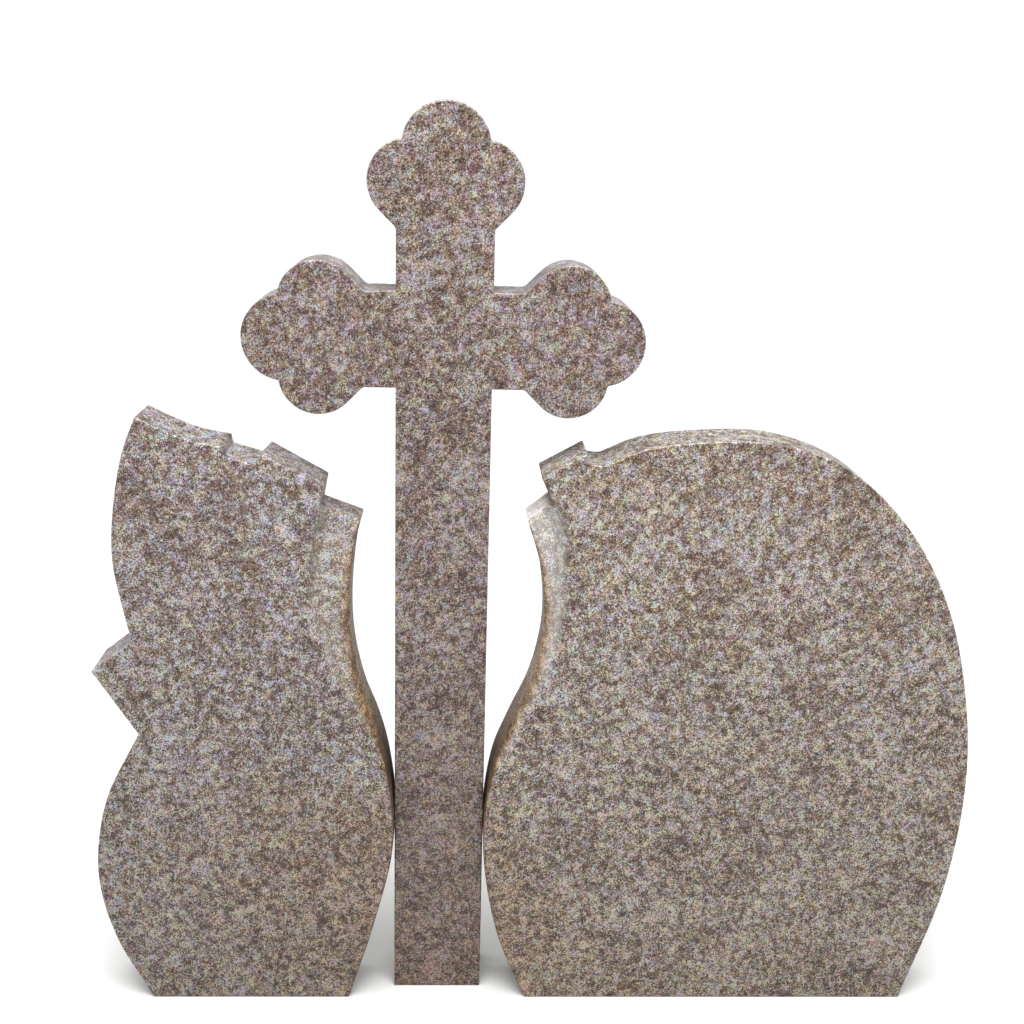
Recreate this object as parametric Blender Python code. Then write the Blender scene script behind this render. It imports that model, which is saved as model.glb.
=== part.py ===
"""Grave monument of three granite stones that stand side by side.

A budded cross stands on its own foot between a left and a right stele.
Each stele is a slab with a free outline, a stepped top and a recessed
margin along the edge that faces the cross. Metres, +Z up, fronts to -Y.
"""
import math

import bmesh
import bpy

# The cross. Its reaches run from the middle of the arms to their tips.
CROSS_THICKNESS = 0.080
SHAFT_WIDTH = 0.120
ARM_WIDTH = 0.120
ARM_REACH = 0.250
HEAD_REACH = 0.285
END_LOBE_RADIUS = 0.054
SIDE_LOBE_RADIUS = 0.0495
SIDE_LOBE_BACK = 0.094
SIDE_LOBE_OFFSET = 0.0455

# The steles
STELE_THICKNESS = 0.080
LEFT_STELE_WIDTH = 0.395
LEFT_STELE_HEIGHT = 0.818
RIGHT_STELE_WIDTH = 0.651
RIGHT_STELE_HEIGHT = 0.799
MARGIN_DEPTH = 0.024
MARGIN_COVE = 0.016

# How the stones stand together. The cross's lowest lobes clear the steles'
# tops, and its front stands back from theirs.
ARM_CLEARANCE = 0.002
CROSS_SETBACK = 0.0265
JOINT_GAP = 0.0003

# The chamfer along each stone's sharp edges
ARRIS = 0.002
ARRIS_ANGLE = math.radians(30)

# Fineness of the round stretches
CURVE_STEP = 0.013
LOBE_STEP = math.radians(9)
COVE_STEPS = 6

# Each stele's outline, as shares of its own width and height. The first
# value runs outwards from the joint with the cross, the second runs up.
LEFT_INNER_SHARES = [(0.154, 0.0), (0.061, 0.149), (0.0, 0.291), (0.020, 0.4155), (0.0562, 0.486),
                     (0.106, 0.551), (0.139, 0.625), (0.1466, 0.700), (0.127, 0.800), (0.1084, 0.836)]
LEFT_STEP_SHARES = [(0.237, 0.859), (0.223, 0.8955), (0.4067, 0.945), (0.437, 0.929), (0.5307, 0.9425)]
LEFT_CREST_SHARES = [(0.537, 0.9565), (0.632, 0.965), (0.722, 0.9815), (0.8025, 1.0)]
LEFT_LEAF_SHARES = [(0.8025, 1.0), (0.850, 0.939), (0.8875, 0.843), (0.894, 0.770), (0.848, 0.6405)]
LEFT_SPIKE_SHARES = (0.9825, 0.590)
LEFT_BELLY_SHARES = [(0.8405, 0.483), (0.961, 0.363), (1.0, 0.232), (0.951, 0.115), (0.834, 0.0)]

RIGHT_INNER_SHARES = [(0.0948, 0.0), (0.0325, 0.129), (0.0, 0.298), (0.0165, 0.428), (0.0502, 0.503),
                      (0.0918, 0.583), (0.114, 0.680), (0.104, 0.780), (0.075, 0.861)]
RIGHT_STEP_SHARES = [(0.123, 0.893), (0.0978, 0.938), (0.184, 0.9775), (0.193, 0.9605)]
RIGHT_OUTER_SHARES = [(0.2176, 0.9585), (0.296, 0.9855), (0.422, 0.999), (0.552, 0.9975),
                      (0.692, 0.9587), (0.8228, 0.8636), (0.924, 0.7234), (0.9855, 0.538),
                      (1.0, 0.388), (0.9793, 0.210), (0.909, 0.0)]

# Where each recessed margin ends on the stele's front, from its foot to the
# corner in the stepped top, and a last point in the air past that corner.
LEFT_MARGIN_SHARES = [(0.012, 0.400), (0.073, 0.470), (0.138, 0.530), (0.205, 0.588), (0.237, 0.640),
                      (0.2735, 0.705), (0.2715, 0.820), (0.2375, 0.8588)]
LEFT_MARGIN_TOP_SHARES = (0.215, 0.902)
RIGHT_MARGIN_SHARES = [(0.015, 0.395), (0.075, 0.515), (0.108, 0.590), (0.130, 0.655),
                       (0.142, 0.760), (0.1495, 0.855), (0.1235, 0.8928)]
RIGHT_MARGIN_TOP_SHARES = (0.093, 0.942)

# The share of a margin's height over which it deepens from nothing
MARGIN_FADE_SHARE = 0.34


def smooth(points, step):
    """Points along a smooth curve through the given ones, both ends included."""
    first = tuple(2 * a - b for a, b in zip(points[0], points[1]))
    last = tuple(2 * a - b for a, b in zip(points[-1], points[-2]))
    knots = [first, *points, last]
    curve = []
    for before, start, end, after in zip(knots, knots[1:], knots[2:], knots[3:]):
        count = max(2, round(math.dist(start, end) / step))
        for k in range(count):
            curve.append(curve_point(before, start, end, after, k / count))
    curve.append(points[-1])
    return curve


def curve_point(before, start, end, after, share):
    """One point of a centripetal Catmull-Rom curve between start and end."""
    t0 = 0.0
    t1 = t0 + math.sqrt(math.dist(before, start))
    t2 = t1 + math.sqrt(math.dist(start, end))
    t3 = t2 + math.sqrt(math.dist(end, after))
    t = t1 + (t2 - t1) * share
    a1 = between(before, start, t0, t1, t)
    a2 = between(start, end, t1, t2, t)
    a3 = between(end, after, t2, t3, t)
    b1 = between(a1, a2, t0, t2, t)
    b2 = between(a2, a3, t1, t3, t)
    return between(b1, b2, t1, t2, t)


def between(p, q, tp, tq, t):
    """The point at t on the line that is at p for tp and at q for tq."""
    share = (t - tp) / (tq - tp)
    return tuple(a + (b - a) * share for a, b in zip(p, q))


def arc(centre, radius, start, end):
    """Points on an arc, both ends included, no more than LOBE_STEP apart."""
    count = max(2, math.ceil(abs(end - start) / LOBE_STEP))
    angles = [start + (end - start) * k / count for k in range(count + 1)]
    return [(centre[0] + radius * math.cos(a), centre[1] + radius * math.sin(a)) for a in angles]


def bud(reach, arm_width):
    """Outline of one three-lobed end, from the arm's one edge round to its other.

    The first value of a point runs along the arm and the second across it.
    """
    end_lobe = (reach - END_LOBE_RADIUS, 0.0)
    side_lobe = (reach - SIDE_LOBE_BACK, SIDE_LOBE_OFFSET)
    apart = math.dist(end_lobe, side_lobe)
    along = (END_LOBE_RADIUS ** 2 - SIDE_LOBE_RADIUS ** 2 + apart ** 2) / (2 * apart)
    turn = math.acos(along / END_LOBE_RADIUS)
    meet = math.atan2(side_lobe[1] - end_lobe[1], side_lobe[0] - end_lobe[0]) - turn
    valley = (end_lobe[0] + END_LOBE_RADIUS * math.cos(meet), END_LOBE_RADIUS * math.sin(meet))
    side_end = math.atan2(valley[1] - side_lobe[1], valley[0] - side_lobe[0])
    slope = math.radians(135)
    side = arc(side_lobe, SIDE_LOBE_RADIUS, slope, side_end)
    root = (side[0][0] - (side[0][1] - arm_width / 2), arm_width / 2)
    end = arc(end_lobe, END_LOBE_RADIUS, meet, -meet)
    half = [root, *side[:-1]]
    return half + end + [(u, -v) for u, v in reversed(half)]


def arm_height():
    """How high the middle of the cross's arms stands above the ground."""
    stele_top = max(LEFT_STELE_HEIGHT, RIGHT_STELE_HEIGHT)
    return stele_top + ARM_CLEARANCE + SIDE_LOBE_RADIUS + SIDE_LOBE_OFFSET


def cross_outline():
    """The cross seen from the front, anticlockwise, with its foot on the ground."""
    half = SHAFT_WIDTH / 2
    middle = arm_height()
    low = middle - ARM_WIDTH / 2
    high = middle + ARM_WIDTH / 2
    arm = bud(ARM_REACH, ARM_WIDTH)
    head = bud(HEAD_REACH, SHAFT_WIDTH)
    outline = [(-half, 0.0), (half, 0.0), (half, low)]
    outline += [(u, middle - v) for u, v in arm]
    outline.append((half, high))
    outline += [(v, middle + u) for u, v in head]
    outline.append((-half, high))
    outline += [(-u, middle + v) for u, v in arm]
    outline.append((-half, low))
    return outline


def sized(points, width, height):
    """Shares of a stele's width and height turned into metres."""
    return [(u * width, v * height) for u, v in points]


def against_joint(outline):
    """Moves an outline outwards or inwards until its nearest point is at 0."""
    nearest = min(u for u, z in outline)
    return [(u - nearest, z) for u, z in outline]


def left_outline():
    """The left stele's outline, with the joint at 0 and outwards positive."""
    size = (LEFT_STELE_WIDTH, LEFT_STELE_HEIGHT)
    outline = smooth(sized(LEFT_INNER_SHARES, *size), CURVE_STEP)
    outline += sized(LEFT_STEP_SHARES, *size)
    outline += smooth(sized(LEFT_CREST_SHARES, *size), CURVE_STEP)[:-1]
    outline += smooth(sized(LEFT_LEAF_SHARES, *size), CURVE_STEP)
    outline += sized([LEFT_SPIKE_SHARES], *size)
    outline += smooth(sized(LEFT_BELLY_SHARES, *size), CURVE_STEP)
    return against_joint(outline)


def right_outline():
    """The right stele's outline, with the joint at 0 and outwards positive."""
    size = (RIGHT_STELE_WIDTH, RIGHT_STELE_HEIGHT)
    outline = smooth(sized(RIGHT_INNER_SHARES, *size), CURVE_STEP)
    outline += sized(RIGHT_STEP_SHARES, *size)
    outline += smooth(sized(RIGHT_OUTER_SHARES, *size), CURVE_STEP)
    return against_joint(outline)


def stone_material(name, colour, roughness):
    """Polished granite in one plain colour."""
    material = bpy.data.materials.new(name)
    material.use_nodes = True
    shader = material.node_tree.nodes["Principled BSDF"]
    shader.inputs["Base Color"].default_value = (*colour, 1.0)
    shader.inputs["Roughness"].default_value = roughness
    shader.inputs["Metallic"].default_value = 0.0
    return material


def link_mesh(name, bm):
    """A linked object that holds the finished bmesh, with its faces outwards."""
    bmesh.ops.recalc_face_normals(bm, faces=bm.faces)
    mesh = bpy.data.meshes.new(name)
    bm.to_mesh(mesh)
    bm.free()
    stone = bpy.data.objects.new(name, mesh)
    bpy.context.scene.collection.objects.link(stone)
    return stone


def slab(name, outline, thickness):
    """A slab with this outline, its front at y = 0 and its back behind it."""
    bm = bmesh.new()
    front = [bm.verts.new((x, 0.0, z)) for x, z in outline]
    back = [bm.verts.new((x, thickness, z)) for x, z in outline]
    bm.faces.new(front)
    bm.faces.new(list(reversed(back)))
    for k, corner in enumerate(front):
        following = (k + 1) % len(front)
        bm.faces.new((corner, back[k], back[following], front[following]))
    return link_mesh(name, bm)


def margin_cutter(name, side, border, top):
    """What the mason takes off a stele's front along its inner edge.

    Its rows climb the border. A row runs from the air in front of the stone
    down a round cove to the margin's floor, and on past the inner edge.
    """
    low = border[0][1]
    high = border[-1][1]
    rows = []
    for across, up in [*border, top]:
        climb = min(1.0, (up - low) / ((high - low) * MARGIN_FADE_SHARE))
        floor = MARGIN_DEPTH * math.sin(climb * math.pi / 2) - ARRIS / 2
        rows.append(margin_row(side, across, up, floor))
    return loft(name, rows)


def margin_row(side, across, up, floor):
    """One level row of the cutter's section: air, cove, floor and air again."""
    air = -MARGIN_DEPTH
    section = [(across, air)]
    for k in range(COVE_STEPS + 1):
        angle = math.pi / 2 * k / COVE_STEPS
        section.append((across - MARGIN_COVE * (1 - math.cos(angle)), floor * math.sin(angle)))
    section.append((-MARGIN_COVE, floor))
    section.append((-MARGIN_COVE, air))
    return [(side * u, y, up) for u, y in section]


def loft(name, rows):
    """A closed body through equal rows of points."""
    bm = bmesh.new()
    rings = [[bm.verts.new(point) for point in row] for row in rows]
    for lower, upper in zip(rings, rings[1:]):
        for k in range(len(lower)):
            following = (k + 1) % len(lower)
            bm.faces.new((lower[k], lower[following], upper[following], upper[k]))
    bm.faces.new(list(reversed(rings[0])))
    bm.faces.new(rings[-1])
    return link_mesh(name, bm)


def cut(stone, cutter):
    """Takes the cutter's body off the stone and leaves the cutter as a guide."""
    cutter.hide_render = True
    cutter.display_type = "WIRE"
    cutter.parent = stone
    difference = stone.modifiers.new("margin", "BOOLEAN")
    difference.operation = "DIFFERENCE"
    difference.solver = "EXACT"
    difference.object = cutter


def ease_arrises(stone):
    """A narrow chamfer on every sharp edge, as a mason dresses it."""
    chamfer = stone.modifiers.new("arrises", "BEVEL")
    chamfer.width = ARRIS
    chamfer.segments = 1
    chamfer.limit_method = "ANGLE"
    chamfer.angle_limit = ARRIS_ANGLE
    stone.data.shade_smooth()
    stone.data.set_sharp_from_angle(angle=ARRIS_ANGLE)


def make_stele(name, side, outline, margin, size):
    """One stele with its margin cut, at the joint with the cross's shaft."""
    line, top = margin
    stone = slab(name, [(side * u, z) for u, z in outline], STELE_THICKNESS)
    ease_arrises(stone)
    border = smooth(sized(line, *size), CURVE_STEP)
    top_point = sized([top], *size)[0]
    cut(stone, margin_cutter(name + "_margin_cutter", side, border, top_point))
    stone.location.x = side * (SHAFT_WIDTH / 2 + JOINT_GAP)
    return stone


def make_cross():
    """The budded cross, a little behind the steles' fronts."""
    stone = slab("cross", cross_outline(), CROSS_THICKNESS)
    ease_arrises(stone)
    stone.location.y = CROSS_SETBACK
    return stone


def centre_offset(left, right):
    """Moves the monument's origin from the shaft's front to its box's middle."""
    joint = SHAFT_WIDTH / 2 + JOINT_GAP
    reach_left = joint + max(u for u, z in left)
    reach_right = joint + max(u for u, z in right)
    depth = max(STELE_THICKNESS, CROSS_SETBACK + CROSS_THICKNESS)
    return ((reach_left - reach_right) / 2, -depth / 2, 0.0)


def build():
    for old in list(bpy.data.objects):
        bpy.data.objects.remove(old, do_unlink=True)
    left = left_outline()
    right = right_outline()
    left_size = (LEFT_STELE_WIDTH, LEFT_STELE_HEIGHT)
    right_size = (RIGHT_STELE_WIDTH, RIGHT_STELE_HEIGHT)
    left_margin = (LEFT_MARGIN_SHARES, LEFT_MARGIN_TOP_SHARES)
    right_margin = (RIGHT_MARGIN_SHARES, RIGHT_MARGIN_TOP_SHARES)
    left_stele = make_stele("left_stele", -1, left, left_margin, left_size)
    right_stele = make_stele("right_stele", 1, right, right_margin, right_size)
    cross = make_cross()
    stele_granite = stone_material("stele_granite", (0.245, 0.205, 0.180), 0.28)
    cross_granite = stone_material("cross_granite", (0.215, 0.168, 0.146), 0.25)
    left_stele.data.materials.append(stele_granite)
    right_stele.data.materials.append(stele_granite)
    cross.data.materials.append(cross_granite)
    ground = bpy.data.objects.new("ground", None)
    bpy.context.scene.collection.objects.link(ground)
    ground.location = centre_offset(left, right)
    for stone in (left_stele, right_stele, cross):
        stone.parent = ground


build()
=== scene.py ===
"""Looks of the grave monument: three granite stones in soft studio light.

Each stone is modelled afresh on the outline of its solid, with eased
arrises, and dressed in a speckled granite that is polished on its faces
and honed in the scooped margins.
"""

import math

import bmesh
import bpy
from mathutils import Matrix, Vector
from mathutils.geometry import delaunay_2d_cdt


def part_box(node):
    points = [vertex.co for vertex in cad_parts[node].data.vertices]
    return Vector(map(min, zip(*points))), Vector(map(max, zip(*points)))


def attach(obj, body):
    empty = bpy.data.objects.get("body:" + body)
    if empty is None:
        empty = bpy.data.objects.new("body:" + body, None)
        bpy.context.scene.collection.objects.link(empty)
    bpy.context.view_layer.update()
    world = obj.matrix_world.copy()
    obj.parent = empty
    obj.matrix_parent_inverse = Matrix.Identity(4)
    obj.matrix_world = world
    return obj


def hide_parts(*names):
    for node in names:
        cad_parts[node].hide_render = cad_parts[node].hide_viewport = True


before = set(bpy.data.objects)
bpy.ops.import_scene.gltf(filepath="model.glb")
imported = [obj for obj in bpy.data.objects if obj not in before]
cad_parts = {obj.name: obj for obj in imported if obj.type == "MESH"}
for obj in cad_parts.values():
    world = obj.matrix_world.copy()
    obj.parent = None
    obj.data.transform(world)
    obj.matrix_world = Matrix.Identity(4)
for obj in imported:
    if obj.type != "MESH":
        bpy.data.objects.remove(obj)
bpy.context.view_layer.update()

# The chamfer of the solids, which the eased arrises replace. Two corners of
# an outline that lie closer than the span are the two sides of a chamfer.
CHAMFER = 0.002
CHAMFER_SPAN = 1.8 * CHAMFER

# Points nearer than this are one point
SAME_POINT = 0.00001

# How the mason eases the stones, in metres. The margin's inner arris is
# rubbed rounder than the rest.
ARRIS_RADIUS = 0.002
LEFT_INNER_RADIUS = 0.011
RIGHT_INNER_RADIUS = 0.008
CORNER_RADIUS = 0.0015
LEAST_RADIUS = 0.0001
ARRIS_CUTS = 4
CORNER_CUTS = 3

# The flat strip that runs beside each arris
FLAT_REST = 0.0012

# How near a corner the outline's other points may come
STELE_CLEARANCE = 0.0125
CROSS_CLEARANCE = 0.0075

# The spacing of points along the outlines, and what counts as a corner
OUTLINE_STEP = 0.003
SHARP_TURN = math.radians(20)

# The cross is made lying on its back. An open edge below this height is the
# rim of its back.
BRIM_HEIGHT = 0.001

# The scooped margins. The fade is the share of a margin's height over which
# it reaches its depth, and the stone is fully honed at the honed depth.
MARGIN_DEPTH = 0.023
MARGIN_COVE = 0.020
MARGIN_SOFT = 0.006
MARGIN_FADE = 0.34
HONED_DEPTH = 0.008

# Distances from the border, in millimetres, at which the margin's section
# gets its points, how near those come to the rim, and their least spacing
SCOOP_LEVELS = [-8.0, -6.0, -4.5, -3.0, -1.5, 0.0, 2.0, 4.0, 6.0,
                8.0, 10.0, 12.0, 14.0, 16.0, 18.0, 20.0, 22.5]
RIM_GAP = OUTLINE_STEP * 0.6
LEAST_EDGE = 0.0004

# The margins' borders, as shares of each stele's width and height, outwards
# from the joint and up from the ground, as on the solids
LEFT_BORDER = [(0.012, 0.400), (0.073, 0.470), (0.138, 0.530), (0.205, 0.588), (0.237, 0.640),
               (0.2735, 0.705), (0.2715, 0.820), (0.2375, 0.8588), (0.215, 0.902)]
RIGHT_BORDER = [(0.015, 0.395), (0.080, 0.515), (0.118, 0.590), (0.141, 0.655),
                (0.150, 0.760), (0.1465, 0.855), (0.1235, 0.8928), (0.093, 0.942)]

# How much painted light makes the upper margins paler than their feet, and
# how much painted light makes the upward-facing step at a margin's top paler
LEFT_MARGIN_LIGHT = 0.1
RIGHT_MARGIN_LIGHT = 2.1
LEFT_CROWN_LIGHT = 0.0
RIGHT_CROWN_LIGHT = 6.5

# The granite's grains: how many to a metre
FINE_GRAINS = 900
COARSE_GRAINS = 190
CLUMPS = 85
CLOUDS = 14
FLECKS = 420

# How much each size of grain adds to the tone
FINE_SHARE = 0.95
COARSE_SHARE = 0.28
CLUMP_SHARE = 1.20
CLOUD_SHARE = 0.42
FLECK_SHARE = 1.8
TONE_START = -0.925

# How much fine grains and clumps add to the hue
FINE_HUE_SHARE = 0.4
CLUMP_HUE_SHARE = 1.5
HUE_START = -0.45

# How the grains lie in the block, and how far their edges wander
GRAIN_TURN = (0.3, 0.5, 0.2)
GRAIN_STRETCH = (1.0, 0.75, 1.0)
GRAIN_WANDER_SCALE = 260
GRAIN_WANDER = (0.003, 0.003, 0.003)

# The granite's colours by tone, from black grains to white ones, and the two
# ways in which grains of one tone differ in hue
GRAIN_COLOURS = [(0.0, (0.024, 0.010, 0.006)), (0.22, (0.080, 0.040, 0.026)),
                 (0.45, (0.176, 0.112, 0.078)), (0.70, (0.276, 0.236, 0.198)),
                 (1.0, (0.480, 0.520, 0.530))]
CREAM_TO_LILAC = [(0.15, (1.15, 1.10, 0.79)), (0.85, (0.88, 0.91, 1.26))]
RED_TO_GREEN = [(0.15, (1.10, 0.90, 1.01)), (0.85, (0.91, 1.11, 0.99))]

# The surface: the roughness of a polished face, what grains, honing and
# sawing add to it, and the relief of each finish
POLISH = 0.26
GRAIN_ROUGHNESS = 0.12
HONED_ROUGHNESS = 0.12
SAWN_ROUGHNESS = 0.30
POLISHED_BUMP = 0.03
HONED_BUMP = 0.25
SAWN_BUMP = 0.30
BUMP_HEIGHT = 0.0005

# The painted highlight on the rounded arrises
ARRIS_HIGHLIGHT = (0.018, 0.017, 0.016)
ARRIS_HIGHLIGHT_GAIN = 4.0

# The painted shade on the sides that face the joints: its warm tint and its
# deeper tint, how soon it is full, how much of it is left above the returns,
# and how it starts on the front's edge and grows round the arris
WARM_RETURN_SHADE = (0.90, 0.68, 0.43)
DEEP_RETURN_SHADE = (0.55, 0.52, 0.52)
RETURN_SHADE_GAIN = 1.5
HIGH_RETURN_SHADE = 0.4
FACE_RETURN_SHADE = 0.25
RETURN_SHADE_RISE = 2.0

# Where each stone's granite is cut from, its tints, the painted shade that
# darkens it towards the ground and the height where that shade begins, and
# the pale dust that honing and sawing leave on it
LEFT_GRANITE = {"shift": (0.0, 0.0, 0.0), "tint": (0.757, 0.743, 0.774),
                "ground_shade_tint": (0.68, 0.58, 0.47), "ground_shade_top": 0.70,
                "honed_dust": (0.056, 0.049, 0.036), "sawn_dust": (0.004, 0.004, 0.005)}
RIGHT_GRANITE = {"shift": (0.0, 0.0, 0.0), "tint": (0.785, 0.752, 0.718),
                 "ground_shade_tint": (0.72, 0.63, 0.54), "ground_shade_top": 0.70,
                 "honed_dust": (0.062, 0.061, 0.060), "sawn_dust": (0.012, 0.011, 0.010)}
CROSS_GRANITE = {"shift": (3.1, 1.7, 0.4), "tint": (0.633, 0.578, 0.580),
                 "ground_shade_tint": (0.66, 0.51, 0.40), "ground_shade_top": 0.95,
                 "honed_dust": (0.0, 0.0, 0.0), "sawn_dust": (0.045, 0.045, 0.045)}

# The rounded inner returns begin below this height and are full a run lower
RETURN_TOP = 0.70
RETURN_RUN = 0.08

# The height below which the returns get a deeper painted shade, and from
# which painted light makes the margins paler
DEEP_SHADE_TOP = 0.46
DEEP_SHADE_RUN = 0.10
MARGIN_LIGHT_BOTTOM = 0.42
MARGIN_LIGHT_RUN = 0.12

# The grains tell more towards the ground, on the sawn sides and in the margins
LOW_CONTRAST = 0.85
SAWN_CONTRAST = 0.50
HONED_CONTRAST = 0.40

# The camera, fitted to the photograph's perspective
CAMERA_PLACE = (-0.1089, -1.7001, 1.1673)
CAMERA_YAW = math.radians(2.399)
CAMERA_PITCH = math.radians(15.678)
CAMERA_ROLL = math.radians(-1.493)
CAMERA_LENS = 47.83

# The soft light, which comes mostly from above. The backdrop is bright up to
# its top, and falls to the upper strength where the upper part begins.
BACKDROP_STRENGTH = 1.02
BACKDROP_TOP = 0.12
UPPER_STRENGTH = 0.35
UPPER_BOTTOM = 0.45
CEILING_STRENGTH = 4.8
CEILING_PLACE = (-0.2, -0.6, 3.0)
CEILING_SPREAD = math.radians(50)
KEY_POWER = 34
KEY_PLACE = (0.15, -1.1, 2.1)
KEY_AIM = (0.0, 0.0, 0.8)
KEY_WIDTH = 1.6
KEY_DEPTH = 1.0

# The floor
FLOOR_COLOUR = (0.58, 0.58, 0.575, 1.0)
FLOOR_ROUGHNESS = 0.9
FLOOR_SIZE = 60.0


def close_points(points):
    """The loop without points that repeat the one before."""
    kept = []
    for point in points:
        if not kept or (point - kept[-1]).length > SAME_POINT:
            kept.append(point)
    if (kept[0] - kept[-1]).length < SAME_POINT:
        kept.pop()
    return kept


def loop_area(points):
    """Twice the signed area of a closed loop, above 0 if anticlockwise."""
    following = points[1:] + points[:1]
    return sum(a.x * b.y - b.x * a.y for a, b in zip(points, following))


def solid_outline(name):
    """The node's outline as (x, z) points, anticlockwise seen from the front.

    It is read where the sides of the slab meet the chamfer at the back.
    """
    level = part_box(name)[1].y - CHAMFER
    work = bmesh.new()
    work.from_mesh(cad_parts[name].data)
    bmesh.ops.remove_doubles(work, verts=work.verts, dist=SAME_POINT)
    beside = {}
    for edge in work.edges:
        ends = edge.verts
        if all(abs(v.co.y - level) < 2 * SAME_POINT for v in ends):
            beside.setdefault(ends[0].index, []).append(ends[1].index)
            beside.setdefault(ends[1].index, []).append(ends[0].index)
    work.verts.ensure_lookup_table()
    start = min(beside)
    walk = [start, beside[start][0]]
    while walk[-1] != start:
        one, other = beside[walk[-1]][:2]
        walk.append(other if one == walk[-2] else one)
    points = [Vector((work.verts[i].co.x, work.verts[i].co.z)) for i in walk[:-1]]
    work.free()
    if loop_area(points) < 0:
        points.reverse()
    return close_points(points)


def turn_at(before, point, after):
    """The signed angle by which an outline turns at a point."""
    a = point - before
    b = after - point
    return math.atan2(a.x * b.y - a.y * b.x, a.dot(b))


def with_true_corners(points):
    """The outline with each chamfered corner made one point, and its corners' numbers."""
    count = len(points)
    turns = [turn_at(points[k - 1], points[k], points[(k + 1) % count]) for k in range(count)]
    merged = {}
    skip = set()
    for k in range(count):
        following = (k + 1) % count
        one, other = turns[k], turns[following]
        near = (points[following] - points[k]).length < CHAMFER_SPAN
        if near and min(abs(one), abs(other)) > SHARP_TURN and one * other > 0:
            skip.update((k, following))
            merged[k] = crossing(points[k - 1], points[k], points[following], points[(k + 2) % count])
    corners = []
    outline = []
    for k in range(count):
        if k in merged:
            corners.append(len(outline))
            outline.append(merged[k])
        elif k not in skip:
            if abs(turns[k]) > SHARP_TURN:
                corners.append(len(outline))
            outline.append(points[k])
    return outline, corners


def crossing(a, b, c, d):
    """Where the line through a and b crosses the line through c and d."""
    u = b - a
    v = d - c
    share = ((c.x - a.x) * v.y - (c.y - a.y) * v.x) / (u.x * v.y - u.y * v.x)
    return a + u * share


def curve_point(knots, share):
    """A point between the middle two of four knots, on a centripetal spline."""
    times = [0.0]
    for a, b in zip(knots, knots[1:]):
        times.append(times[-1] + math.sqrt((b - a).length))
    t = times[1] + (times[2] - times[1]) * share
    row = list(knots)
    for level in (1, 2, 3):
        spans = []
        for k in range(len(row) - 1):
            low = times[k] if level < 3 else times[1]
            high = times[k + level] if level < 3 else times[2]
            spans.append(row[k].lerp(row[k + 1], (t - low) / (high - low)))
        row = spans
    return row[0]


def smooth_stretch(points, step):
    """Evenly spaced points on a smooth curve through a stretch, ends included."""
    first = points[0] * 2 - points[1]
    last = points[-1] * 2 - points[-2]
    knots = [first, *points, last]
    curve = []
    for k in range(len(points) - 1):
        four = knots[k:k + 4]
        count = max(1, round((four[2] - four[1]).length / step))
        curve += [curve_point(four, i / count) for i in range(count)]
    return curve + [points[-1]]


class Rim:
    """A stone's outline, ready to be drawn at any inset from its edge."""

    def __init__(self, name, clearance):
        outline, corners = with_true_corners(solid_outline(name))
        self.clearance = clearance
        self.spots = []
        count = len(outline)
        for k, start in enumerate(corners):
            end = corners[(k + 1) % len(corners)]
            span = (end - start) % count
            stretch = [outline[(start + i) % count] for i in range(span + 1)]
            self.add_corner(outline, start)
            self.add_side(smooth_stretch(stretch, OUTLINE_STEP))

    def add_corner(self, outline, k):
        """Notes the corner, with the directions of the sides that meet there."""
        corner = outline[k]
        before = (corner - outline[k - 1]).normalized()
        after = (outline[(k + 1) % len(outline)] - corner).normalized()
        self.spots.append(("corner", corner, before, after))

    def add_side(self, curve):
        """Notes the points between two corners that no inset reaches."""
        start = curve[0]
        end = curve[-1]
        for before, point, after in zip(curve, curve[1:], curve[2:]):
            if (point - start).length > self.clearance and (point - end).length > self.clearance:
                self.spots.append(("side", point, (after - before).normalized(), None))

    def ring(self, share, rest, radii):
        """(point, spot) pairs, moved in by a share of the spot's arris radius and a rest."""
        pairs = []
        for k, (kind, place, before, after) in enumerate(self.spots):
            inset = share * radii[k] + rest
            if kind == "corner":
                pairs += [(point, k) for point in round_corner(place, before, after, inset)]
            else:
                pairs.append((place + inward(before) * inset, k))
        return pairs


def inward(direction):
    """Square to an anticlockwise outline's direction, into the stone."""
    return Vector((-direction.y, direction.x))


def round_corner(corner, before, after, inset):
    """The points of an eased corner at this inset."""
    turn = math.atan2(before.x * after.y - before.y * after.x, before.dot(after))
    first = inward(before)
    mitre = (first + inward(after)) / (1 + first.dot(inward(after)))
    side = 1 if turn > 0 else -1
    radius = max(CORNER_RADIUS - side * inset, LEAST_RADIUS)
    centre = corner + mitre * (inset + side * radius)
    points = []
    for k in range(CORNER_CUTS + 1):
        angle = turn * k / CORNER_CUTS
        normal = Vector((first.x * math.cos(angle) - first.y * math.sin(angle),
                         first.x * math.sin(angle) + first.y * math.cos(angle)))
        points.append(centre - normal * side * radius)
    return points


def arris_profile():
    """(inset share, inset rest, drop share, drop rest, roundness) round an arris."""
    rows = [(1.0, FLAT_REST, 0.0, 0.0, 0.0)]
    for k in range(ARRIS_CUTS + 1):
        angle = math.pi / 2 * k / ARRIS_CUTS
        rows.append((1 - math.sin(angle), 0.0, 1 - math.cos(angle), 0.0, k / ARRIS_CUTS))
    rows.append((0.0, 0.0, 1.0, FLAT_REST, 1.0))
    return rows


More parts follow.
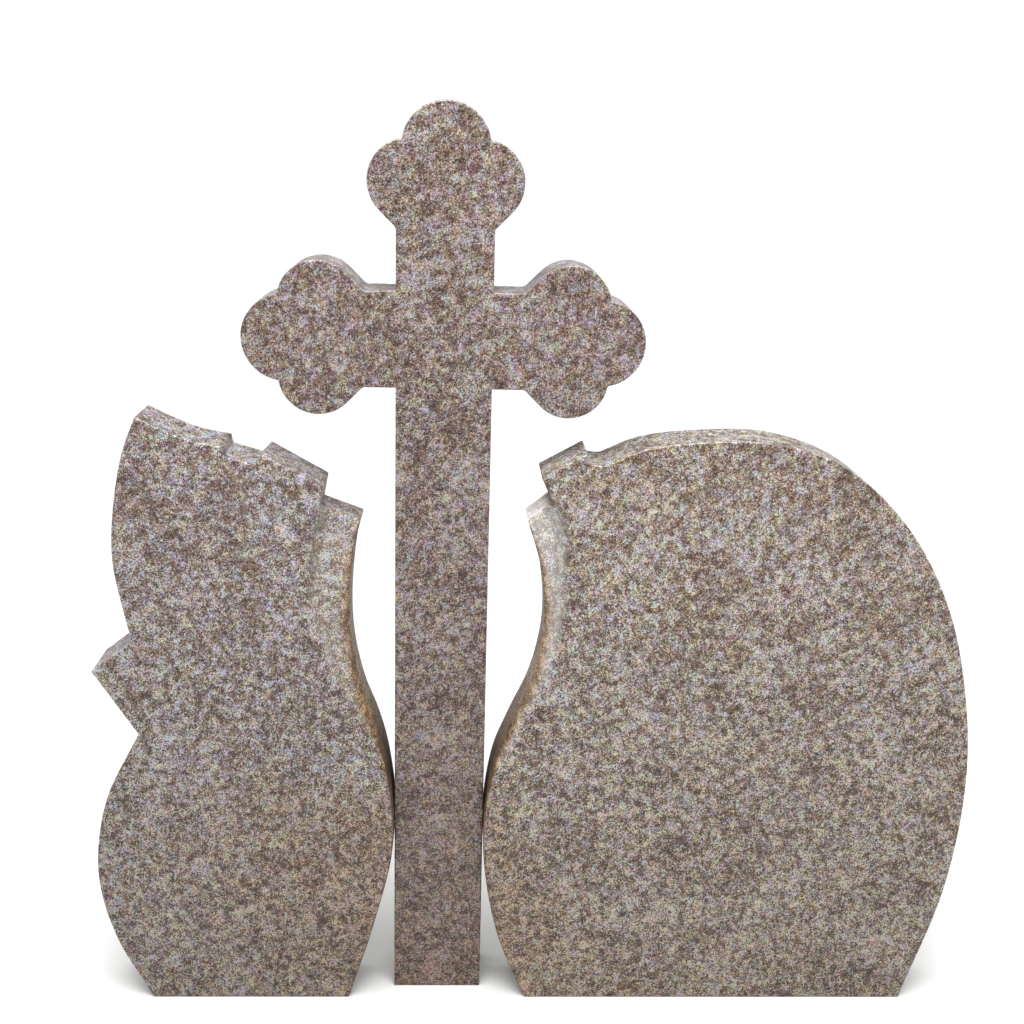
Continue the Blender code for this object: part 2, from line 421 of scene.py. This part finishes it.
class Margin:
    """The scooped margin of a stele, as a depth below the polished face.

    The side is the way from the joint into the stele: -1 is left, 1 is right.
    """

    def __init__(self, node, side, border, inner_radius, margin_light, crown_light):
        low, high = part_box(node)
        width = high.x - low.x
        joint = high.x if side < 0 else low.x
        knots = [Vector((joint + side * u * width, v * high.z)) for u, v in border]
        self.side = side
        self.inner_radius = inner_radius
        self.margin_light = margin_light
        self.crown_light = crown_light
        self.top = knots[-2].y
        self.bottom = knots[0].y
        self.line = smooth_stretch(knots[:-1], OUTLINE_STEP) + [knots[-1]]

    def distance(self, point):
        """How far a point is from the border, above 0 inside the margin."""
        best = None
        for a, b in zip(self.line, self.line[1:]):
            along = b - a
            share = min(1.0, max(0.0, (point - a).dot(along) / along.length_squared))
            gap = (point - a - along * share).length
            if best is None or gap < best[0] - 1e-9:
                across = along.x * (point.y - a.y) - along.y * (point.x - a.x)
                best = (gap, across)
        gap, across = best
        return gap if across * self.side > 0 else -gap

    def share(self, height):
        """How much of its full depth the margin has at this height."""
        reach = (self.top - self.bottom) * MARGIN_FADE
        climb = min(1.0, max(0.0, (height - self.bottom) / reach))
        return math.sin(climb * math.pi / 2)

    def depth(self, point):
        """How deep the stone is scooped at this point."""
        share = self.share(point.y)
        if share == 0:
            return 0.0
        return share * scoop(self.distance(point))

    def arris_radius(self, spot):
        """How round the front arris is at a spot of the rim."""
        kind, place, along = spot[:3]
        if kind == "corner":
            return ARRIS_RADIUS
        deep = self.depth(place) / MARGIN_DEPTH
        upright = max(0.0, 2 * abs(along.y) - 1)
        return ARRIS_RADIUS + (self.inner_radius - ARRIS_RADIUS) * deep * upright * returned(place.y)

    def return_shade(self, spot):
        """How much painted shade the stone's side has at a spot of the rim: 1 is the warm painted shade, 2
        adds the deeper painted shade.
        """
        if self.lit_crown(spot):
            return 0.0
        place, along = spot[1:3]
        towards_joint = max(0.0, inward(along).x * self.side)
        low = min(1.0, max(0.0, (DEEP_SHADE_TOP - place.y) / DEEP_SHADE_RUN))
        full = HIGH_RETURN_SHADE + (1 - HIGH_RETURN_SHADE) * returned(place.y)
        return min(1.0, RETURN_SHADE_GAIN * towards_joint ** 2) * (1 + low) * full

    def painted_lightness(self, height):
        """How much more painted light pales the margin at this height than at its foot."""
        rise = min(1.0, max(0.0, (height - MARGIN_LIGHT_BOTTOM) / MARGIN_LIGHT_RUN))
        return 1 + rise * self.margin_light

    def lit_crown(self, spot):
        """How much painted light the upward-facing step at the margin's top gets at a spot of the rim."""
        place, along = spot[1:3]
        faces_up = -inward(along).y > 0.5
        pale = faces_up and self.depth(place) > MARGIN_DEPTH / 2
        return self.crown_light if pale else 0.0


def returned(height):
    """From 0 above the rounded returns to 1 where they are full."""
    return min(1.0, max(0.0, (RETURN_TOP - height) / RETURN_RUN))


def scoop(distance):
    """The margin's section: it leaves the face softly and runs out into the flat floor."""
    share = (distance + MARGIN_SOFT) / (MARGIN_COVE + MARGIN_SOFT)
    return MARGIN_DEPTH * (1 - math.cos(math.pi * min(1.0, max(0.0, share)))) / 2


def contour(line, side, distance):
    """The border moved sideways by this much."""
    points = []
    for k, point in enumerate(line):
        before = line[max(0, k - 1)]
        after = line[min(len(line) - 1, k + 1)]
        along = (after - before).normalized()
        points.append(point + Vector((-along.y, along.x)) * side * distance)
    return points


def inside(loop, point):
    """Whether a point lies within a closed loop."""
    within = False
    for a, b in zip(loop, loop[1:] + loop[:1]):
        if (a.y > point.y) != (b.y > point.y):
            if point.x < a.x + (point.y - a.y) * (b.x - a.x) / (b.y - a.y):
                within = not within
    return within


def clear_of(loop, point, gap):
    """Whether no corner of a loop is nearer to the point than the gap."""
    return all((point - other).length > gap for other in loop)


def face_fill(ring, margin):
    """Triangles that fill a stele's face, with the margin's contours in them."""
    points = list(ring)
    edges = []
    if margin:
        for level in SCOOP_LEVELS:
            previous = None
            for point in contour(margin.line, margin.side, level / 1000):
                if inside(ring, point) and clear_of(ring, point, RIM_GAP):
                    if previous is not None and (point - points[previous]).length > LEAST_EDGE:
                        edges.append((previous, len(points)))
                    previous = len(points)
                    points.append(point)
                else:
                    previous = None
    face = list(range(len(ring)))
    places, _, faces, sources, _, covers = delaunay_2d_cdt(points, edges, [face], 1, 1e-6, True)
    return places, [f for f, cover in zip(faces, covers) if cover], sources


def stele_mesh(node, margin):
    """The mesh of a stele: its face with the margin, eased edges and its back."""
    low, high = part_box(node)
    rim = Rim(node, STELE_CLEARANCE)
    profile = arris_profile()
    mesh = bmesh.new()
    honed = mesh.verts.layers.float.new("honed")
    sawn = mesh.verts.layers.float.new("sawn")
    return_shaded = mesh.verts.layers.float.new("return_shaded")
    return_shades = [margin.return_shade(spot) for spot in rim.spots]
    lit_crowns = [margin.lit_crown(spot) for spot in rim.spots]
    front_radii = [margin.arris_radius(spot) for spot in rim.spots]
    back_radii = [ARRIS_RADIUS] * len(rim.spots)

    def front(point, drop=0.0, roundness=0.0, spot=None):
        depth = margin.depth(point)
        vert = mesh.verts.new((point.x, low.y + depth + drop, point.y))
        # The honed mark, lifted above 1 by painted light towards the margin's top
        vert[honed] = min(1.0, depth / HONED_DEPTH) * (1 - roundness) * margin.painted_lightness(point.y)
        vert[sawn] = roundness
        if spot is not None:
            # Painted light on the upward-facing step at the margin's top
            vert[honed] = max(vert[honed], lit_crowns[spot] * roundness)
            vert[return_shaded] = return_shades[spot] * min(1.0, FACE_RETURN_SHADE + RETURN_SHADE_RISE * roundness)
        return vert

    def back(point, drop=0.0, roundness=0.0, spot=None):
        vert = mesh.verts.new((point.x, high.y - drop, point.y))
        vert[sawn] = 1.0
        if spot is not None:
            vert[honed] = lit_crowns[spot] * roundness
            vert[return_shaded] = return_shades[spot] * roundness
        return vert

    rings = []
    for inset, rest, drop, flat, roundness in profile:
        ring = rim.ring(inset, rest, front_radii)
        rings.append([front(p, drop * front_radii[k] + flat, roundness, k) for p, k in ring])
    for inset, rest, drop, flat, roundness in reversed(profile):
        ring = rim.ring(inset, rest, back_radii)
        rings.append([back(p, drop * ARRIS_RADIUS + flat, roundness, k) for p, k in ring])
    for outer, inner in zip(rings, rings[1:]):
        bridge(mesh, outer, inner)
    inset, rest = profile[0][:2]
    front_points = [point for point, _ in rim.ring(inset, rest, front_radii)]
    back_points = [point for point, _ in rim.ring(inset, rest, back_radii)]
    fill_ring(mesh, rings[0], front_points, margin, front, False)
    fill_ring(mesh, rings[-1], back_points, None, back, True)
    return mesh


def bridge(mesh, one, other):
    """Joins two rings of the same number of points with four-sided faces."""
    for k in range(len(one)):
        following = (k + 1) % len(one)
        mesh.faces.new((one[k], other[k], other[following], one[following]))


def fill_ring(mesh, ring_verts, ring, margin, make, flipped):
    """Closes a face of the stone within its innermost ring."""
    places, faces, origins = face_fill(ring, margin)
    used = {i for face in faces for i in face}
    verts = {}
    for i in sorted(used):
        known = [k for k in origins[i] if k < len(ring)]
        verts[i] = ring_verts[known[0]] if known else make(Vector(places[i]))
    for face in faces:
        corners = [verts[i] for i in face]
        mesh.faces.new(list(reversed(corners)) if flipped else corners)


def finish_mesh(name, mesh, material):
    """Turns a finished bmesh into a smooth-shaded stone with its material."""
    bmesh.ops.recalc_face_normals(mesh, faces=mesh.faces)
    data = bpy.data.meshes.new(name)
    mesh.to_mesh(data)
    mesh.free()
    data.shade_smooth()
    data.materials.append(material)
    stone = bpy.data.objects.new(name, data)
    bpy.context.scene.collection.objects.link(stone)
    return stone


class Finish:
    """One material's node tree, to which a recipe adds its steps."""

    def __init__(self, name):
        self.material = bpy.data.materials.new(name)
        self.material.use_nodes = True
        self.tree = self.material.node_tree
        self.shader = self.tree.nodes["Principled BSDF"]

    def node(self, kind, sockets, **settings):
        """A new node. A socket is given a value, or the socket that feeds it."""
        made = self.tree.nodes.new(kind)
        for key, value in settings.items():
            setattr(made, key, value)
        for key, value in sockets.items():
            self.feed(made.inputs[key], value)
        return made

    def feed(self, socket, value):
        """Links a socket that feeds this one, or sets a plain value."""
        if isinstance(value, bpy.types.NodeSocket):
            self.tree.links.new(value, socket)
        else:
            socket.default_value = value

    def sum(self, value, factor, added):
        """value * factor + added"""
        step = self.node("ShaderNodeMath", {0: value, 1: factor, 2: added}, operation="MULTIPLY_ADD")
        return step.outputs["Value"]

    def blend(self, share, first, second, way="MIX"):
        """Two colours mixed by a share of the second."""
        step = self.node("ShaderNodeMix", {0: share, 6: first, 7: second},
                         data_type="RGBA", blend_type=way)
        return step.outputs[2]

    def dust(self, colour, amount, dust):
        """A colour with an amount of pale dust added."""
        step = self.node("ShaderNodeVectorMath", {0: amount, 1: dust, 2: colour}, operation="MULTIPLY_ADD")
        return step.outputs["Vector"]

    def noise(self, place, scale, detail):
        """Soft cloudy values. The scale says how many to a metre."""
        sockets = {"Vector": place, "Scale": scale, "Detail": detail}
        return self.node("ShaderNodeTexNoise", sockets)

    def crystals(self, place, scale):
        """Grains of one size, each with three random values of its own."""
        cells = self.node("ShaderNodeTexVoronoi", {"Vector": place, "Scale": scale})
        return self.node("ShaderNodeSeparateColor", {"Color": cells.outputs["Color"]}).outputs

    def ramp(self, value, stops):
        """The colours of some stops, looked up by a value from 0 to 1."""
        made = self.node("ShaderNodeValToRGB", {"Fac": value})
        elements = made.color_ramp.elements
        while len(elements) < len(stops):
            elements.new(0.5)
        for element, (spot, colour) in zip(elements, stops):
            element.position = spot
            element.color = (*colour, 1.0)
        return made.outputs["Color"]

    def mark(self, name):
        """A mark that the stone's mesh carries on its points."""
        return self.node("ShaderNodeAttribute", {}, attribute_name=name).outputs["Fac"]


def granite(name, look):
    """Speckled granite, polished on its faces, honed or sawn where it is marked so.

    It is darker and browner from a height down to the ground, which is painted shade.
    """
    finish = Finish(name)
    honed = finish.mark("honed")
    sawn = finish.mark("sawn")
    return_shaded = finish.mark("return_shaded")
    place = finish.node("ShaderNodeTexCoord", {}).outputs["Object"]
    turned = finish.node("ShaderNodeMapping", {"Vector": place, "Location": look["shift"],
                                               "Rotation": GRAIN_TURN,
                                               "Scale": GRAIN_STRETCH}).outputs["Vector"]
    wander = finish.noise(turned, GRAIN_WANDER_SCALE, detail=2).outputs["Color"]
    bent = finish.node("ShaderNodeVectorMath", {0: wander, 1: GRAIN_WANDER, 2: turned},
                       operation="MULTIPLY_ADD").outputs["Vector"]

    fine = finish.crystals(bent, FINE_GRAINS)
    coarse = finish.crystals(bent, COARSE_GRAINS)
    flecks = finish.crystals(bent, FLECKS)
    clumps = finish.noise(turned, CLUMPS, detail=2).outputs["Color"]
    clumps = finish.node("ShaderNodeSeparateColor", {"Color": clumps}).outputs
    broad = finish.noise(turned, CLOUDS, detail=3).outputs["Fac"]
    tone = finish.sum(fine["Red"], FINE_SHARE, TONE_START)
    tone = finish.sum(coarse["Red"], COARSE_SHARE, tone)
    tone = finish.sum(clumps["Red"], CLUMP_SHARE, tone)
    tone = finish.sum(broad, CLOUD_SHARE, tone)
    odd = finish.node("ShaderNodeMath", {0: finish.sum(flecks["Blue"], 1.0, -0.5), 1: 3.0},
                      operation="POWER").outputs["Value"]
    tone = finish.sum(odd, FLECK_SHARE, tone)
    height = finish.node("ShaderNodeSeparateXYZ", {"Vector": place}).outputs["Z"]
    low = finish.node("ShaderNodeMapRange", {"Value": height, "From Min": look["ground_shade_top"],
                                             "From Max": 0.0}).outputs["Result"]

    # Bare is 1 on stone that isn't honed. Dull is its opposite.
    bare = finish.node("ShaderNodeMath", {0: 1.0, 1: honed}, operation="SUBTRACT",
                       use_clamp=True).outputs["Value"]
    dull = finish.sum(bare, -1.0, 1.0)
    gain = finish.sum(dull, HONED_CONTRAST, finish.sum(sawn, SAWN_CONTRAST, 0.0))
    gain = finish.sum(low, LOW_CONTRAST, gain)
    tone = finish.sum(finish.sum(tone, 1.0, -0.5), gain, tone)

    stone = finish.ramp(tone, GRAIN_COLOURS)
    for channel, hues in (("Green", CREAM_TO_LILAC), ("Blue", RED_TO_GREEN)):
        hue = finish.sum(clumps[channel], CLUMP_HUE_SHARE, HUE_START)
        hue = finish.sum(fine[channel], FINE_HUE_SHARE, hue)
        stone = finish.blend(1.0, stone, finish.ramp(hue, hues), "MULTIPLY")
    stone = finish.blend(1.0, stone, (*look["tint"], 1.0), "MULTIPLY")
    # Painted shade: darker and browner towards the ground
    shaded_low_tone = finish.blend(1.0, stone, (*look["ground_shade_tint"], 1.0), "MULTIPLY")
    stone = finish.blend(low, stone, shaded_low_tone)

    # The arrises, where the sawn mark is neither 0 nor 1, get a painted highlight
    # Pale dust of honing and sawing; where painted light lifts the honed mark above 1, more of it is added
    stone = finish.dust(stone, honed, look["honed_dust"])
    stone = finish.dust(stone, sawn, look["sawn_dust"])
    arris_highlight = finish.node("ShaderNodeMath", {0: sawn, 1: finish.sum(sawn, -ARRIS_HIGHLIGHT_GAIN, ARRIS_HIGHLIGHT_GAIN)},
                       operation="MULTIPLY").outputs["Value"]
    arris_highlight = finish.sum(arris_highlight, bare, 0.0)
    stone = finish.dust(stone, arris_highlight, ARRIS_HIGHLIGHT)
    # Painted shade on the returns by the joints: warm, and deeper lower down
    warm_shaded = finish.blend(1.0, stone, (*WARM_RETURN_SHADE, 1.0), "MULTIPLY")
    stone = finish.blend(return_shaded, stone, warm_shaded)
    deep_shaded = finish.blend(1.0, stone, (*DEEP_RETURN_SHADE, 1.0), "MULTIPLY")
    stone = finish.blend(finish.sum(return_shaded, 1.0, -1.0), stone, deep_shaded)
    finish.feed(finish.shader.inputs["Base Color"], stone)

    rough = finish.sum(fine["Blue"], GRAIN_ROUGHNESS, POLISH - GRAIN_ROUGHNESS / 2)
    rough = finish.sum(dull, HONED_ROUGHNESS, rough)
    rough = finish.sum(sawn, SAWN_ROUGHNESS, rough)
    finish.feed(finish.shader.inputs["Roughness"], rough)
    relief = finish.sum(dull, HONED_BUMP, finish.sum(sawn, SAWN_BUMP, POLISHED_BUMP))
    bump = finish.node("ShaderNodeBump", {"Strength": relief, "Distance": BUMP_HEIGHT,
                                          "Height": fine["Red"]})
    finish.feed(finish.shader.inputs["Normal"], bump.outputs["Normal"])
    return finish.material


def look_from(place, yaw, pitch, roll):
    """The world matrix of a camera that looks along +Y, turned and tipped."""
    forward = Vector((math.sin(yaw) * math.cos(pitch), math.cos(yaw) * math.cos(pitch), -math.sin(pitch)))
    level = Vector((math.cos(yaw), -math.sin(yaw), 0.0))
    down = forward.cross(level)
    right = level * math.cos(roll) + down * math.sin(roll)
    up = level * math.sin(roll) - down * math.cos(roll)
    turn = Matrix((right, up, -forward)).transposed().to_4x4()
    return Matrix.Translation(place) @ turn


def set_camera():
    """The camera that sees the stones as the photograph does."""
    data = bpy.data.cameras.new("camera")
    data.lens = CAMERA_LENS
    data.sensor_width = 36.0
    camera = bpy.data.objects.new("camera", data)
    bpy.context.scene.collection.objects.link(camera)
    camera.matrix_world = look_from(CAMERA_PLACE, CAMERA_YAW, CAMERA_PITCH, CAMERA_ROLL)
    bpy.context.scene.camera = camera


def set_floor():
    """A plain pale floor, which isn't part of the monument."""
    finish = Finish("pale_floor")
    finish.feed(finish.shader.inputs["Base Color"], FLOOR_COLOUR)
    finish.feed(finish.shader.inputs["Roughness"], FLOOR_ROUGHNESS)
    finish.feed(finish.shader.inputs["Specular IOR Level"], 0.0)
    bpy.ops.mesh.primitive_plane_add(size=FLOOR_SIZE, location=(0.0, 0.0, 0.0))
    floor = bpy.context.object
    floor.name = "floor"
    floor.data.materials.append(finish.material)


def place_lamp(data, place, target):
    """Hangs a lamp at a place and aims it."""
    lamp = bpy.data.objects.new(data.name, data)
    bpy.context.scene.collection.objects.link(lamp)
    aim = (Vector(target) - Vector(place)).to_track_quat("-Z", "Y")
    lamp.matrix_world = Matrix.Translation(place) @ aim.to_matrix().to_4x4()


def set_light():
    """Soft light: a bright low backdrop, a wide light from above and a key light."""
    world = bpy.data.worlds.new("studio")
    world.use_nodes = True
    tree = world.node_tree
    place = tree.nodes.new("ShaderNodeTexCoord")
    height = tree.nodes.new("ShaderNodeSeparateXYZ")
    tree.links.new(place.outputs["Generated"], height.inputs["Vector"])
    fall = tree.nodes.new("ShaderNodeMapRange")
    tree.links.new(height.outputs["Z"], fall.inputs["Value"])
    for name, value in (("From Min", BACKDROP_TOP), ("From Max", UPPER_BOTTOM),
                        ("To Min", BACKDROP_STRENGTH), ("To Max", UPPER_STRENGTH)):
        fall.inputs[name].default_value = value
    tree.links.new(fall.outputs["Result"], tree.nodes["Background"].inputs["Strength"])
    tree.nodes["Background"].inputs["Color"].default_value = (1.0, 1.0, 1.0, 1.0)
    bpy.context.scene.world = world
    ceiling = bpy.data.lights.new("ceiling_light", "SUN")
    ceiling.energy = CEILING_STRENGTH
    ceiling.angle = CEILING_SPREAD
    place_lamp(ceiling, CEILING_PLACE, (0.0, 0.0, 0.0))
    key = bpy.data.lights.new("key_light", "AREA")
    key.shape = "RECTANGLE"
    key.size = KEY_WIDTH
    key.size_y = KEY_DEPTH
    key.energy = KEY_POWER
    place_lamp(key, KEY_PLACE, KEY_AIM)
    bpy.context.scene.view_settings.view_transform = "Standard"


def dress(stone, node_name):
    """Puts a finished stone in the place of its solid."""
    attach(stone, "root")
    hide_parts(node_name)


def set_stele(node_name, name, margin, material):
    """Makes and dresses one stele."""
    stone = finish_mesh(name, stele_mesh(node_name, margin), material)
    dress(stone, node_name)


def eased_slab_tree():
    """Geometry nodes that turn a flat outline into a slab with eased arrises.

    The slab lies in the outline's plane while it is made: the arris profile
    runs along the outline, both faces are filled, and the slab is stood up.
    """
    tree = bpy.data.node_groups.new("eased_slab", "GeometryNodeTree")
    sizes = [("Thickness", "NodeSocketFloat"), ("Arris", "NodeSocketFloat"),
             ("Flat Rest", "NodeSocketFloat"), ("Arris Cuts", "NodeSocketInt"),
             ("Back", "NodeSocketFloat"), ("Stone", "NodeSocketMaterial")]
    tree.interface.new_socket("Outline", in_out="INPUT", socket_type="NodeSocketGeometry")
    for name, kind in sizes:
        tree.interface.new_socket(name, in_out="INPUT", socket_type=kind)
    tree.interface.new_socket("Slab", in_out="OUTPUT", socket_type="NodeSocketGeometry")
    given = tree.nodes.new("NodeGroupInput").outputs

    def step(kind, sockets, **settings):
        """The outputs of a new node, fed with values or with other sockets."""
        made = tree.nodes.new(kind)
        for key, value in settings.items():
            setattr(made, key, value)
        for key, value in sockets.items():
            if isinstance(value, bpy.types.NodeSocket):
                tree.links.new(value, made.inputs[key])
            else:
                made.inputs[key].default_value = value
        return made.outputs

    rim = step("ShaderNodeMath", {0: given["Arris"], 1: given["Flat Rest"]}, operation="ADD")[0]
    inset = step("ShaderNodeMath", {0: rim, 1: -1.0}, operation="MULTIPLY")[0]
    depth = step("ShaderNodeMath", {0: given["Thickness"], 1: -1.0}, operation="MULTIPLY")[0]
    corners = [step("ShaderNodeCombineXYZ", {"X": x, "Y": y})[0]
               for x, y in ((inset, 0.0), (0.0, 0.0), (0.0, depth), (inset, depth))]
    points = {f"Point {k + 1}": corner for k, corner in enumerate(corners)}
    section = step("GeometryNodeCurvePrimitiveQuadrilateral", points, mode="POINTS")[0]
    section = step("GeometryNodeSetSplineCyclic", {0: section, "Cyclic": False})[0]
    section = step("GeometryNodeFilletCurve", {"Curve": section, "Count": given["Arris Cuts"],
                                               "Radius": given["Arris"]}, mode="POLY")[0]
    path = step("GeometryNodeMeshToCurve", {"Mesh": given["Outline"]})[0]
    sides = step("GeometryNodeCurveToMesh", {"Curve": path, "Profile Curve": section})[0]

    open_edge = step("FunctionNodeCompare", {2: step("GeometryNodeInputMeshEdgeNeighbors", {})[0], 3: 1},
                     data_type="INT", operation="EQUAL")[0]
    height = step("ShaderNodeSeparateXYZ", {0: step("GeometryNodeInputPosition", {})[0]})["Z"]
    low_edge = step("ShaderNodeMath", {0: height, 1: BRIM_HEIGHT}, operation="LESS_THAN")[0]
    brim = step("FunctionNodeBooleanMath", {0: open_edge, 1: low_edge}, operation="AND")[0]
    loop = step("GeometryNodeMeshToCurve", {"Mesh": sides, "Selection": brim})[0]
    face = step("GeometryNodeFillCurve", {"Curve": loop}, mode="NGONS")[0]
    lift = step("ShaderNodeCombineXYZ", {"Z": given["Thickness"]})[0]
    other = step("GeometryNodeTransform", {"Geometry": face, "Translation": lift})[0]
    joined = tree.nodes.new("GeometryNodeJoinGeometry")
    for piece in (sides, face, other):
        tree.links.new(piece, joined.inputs[0])
    closed = step("GeometryNodeMergeByDistance", {"Geometry": joined.outputs[0], "Distance": SAME_POINT})[0]
    stand = step("ShaderNodeCombineXYZ", {"Y": given["Back"]})[0]
    upright = step("GeometryNodeTransform", {"Geometry": closed, "Translation": stand,
                                             "Rotation": (math.pi / 2, 0.0, 0.0)})[0]
    smooth = step("GeometryNodeSetShadeSmooth", {"Geometry": upright})[0]
    real = step("GeometryNodeRealizeInstances", {"Geometry": smooth})[0]
    dressed = step("GeometryNodeSetMaterial", {"Geometry": real, "Material": given["Stone"]})[0]
    tree.links.new(dressed, tree.nodes.new("NodeGroupOutput").inputs["Slab"])
    return tree


def path_points(rim):
    """The outline itself, with its outer corners sharp and its inner ones round."""
    points = []
    for kind, place, before, after in rim.spots:
        if kind == "corner" and before.x * after.y < before.y * after.x:
            points += round_corner(place, before, after, 0.0)
        else:
            points.append(place)
    return points


def set_cross(material):
    """The cross: its outline runs through the tree, and becomes a plain mesh."""
    low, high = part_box("cross")
    points = path_points(Rim("cross", CROSS_CLEARANCE))
    count = len(points)
    outline = bpy.data.meshes.new("cross_outline")
    edges = [(k, (k + 1) % count) for k in range(count)]
    outline.from_pydata([(p.x, p.y, 0.0) for p in points], edges, [])
    source = bpy.data.objects.new("cross_outline", outline)
    bpy.context.scene.collection.objects.link(source)
    tree = eased_slab_tree()
    slab = source.modifiers.new("slab", "NODES")
    slab.node_group = tree
    values = {"Thickness": high.y - low.y, "Arris": ARRIS_RADIUS, "Flat Rest": FLAT_REST,
              "Arris Cuts": ARRIS_CUTS, "Back": high.y, "Stone": material}
    for item in tree.interface.items_tree:
        if item.name in values:
            slab[item.identifier] = values[item.name]
    ready = source.evaluated_get(bpy.context.evaluated_depsgraph_get())
    plain = bpy.data.meshes.new_from_object(ready)
    source.modifiers.remove(slab)
    bpy.data.objects.remove(source, do_unlink=True)
    mesh = bmesh.new()
    mesh.from_mesh(plain)
    sawn = mesh.verts.layers.float.new("sawn")
    for vert in mesh.verts:
        inset = vert.co.y - low.y
        vert[sawn] = min(1.0, inset / ARRIS_RADIUS)
    stone = finish_mesh("cross_stone", mesh, material)
    dress(stone, "cross")


set_camera()
set_floor()
set_light()
left_granite = granite("left_stele_granite", LEFT_GRANITE)
right_granite = granite("right_stele_granite", RIGHT_GRANITE)
cross_granite = granite("cross_granite", CROSS_GRANITE)
left_margin = Margin("left_stele", -1, LEFT_BORDER, LEFT_INNER_RADIUS, LEFT_MARGIN_LIGHT, LEFT_CROWN_LIGHT)
right_margin = Margin("right_stele", 1, RIGHT_BORDER, RIGHT_INNER_RADIUS, RIGHT_MARGIN_LIGHT, RIGHT_CROWN_LIGHT)
set_stele("left_stele", "left_stele_stone", left_margin, left_granite)
set_stele("right_stele", "right_stele_stone", right_margin, right_granite)
set_cross(cross_granite)
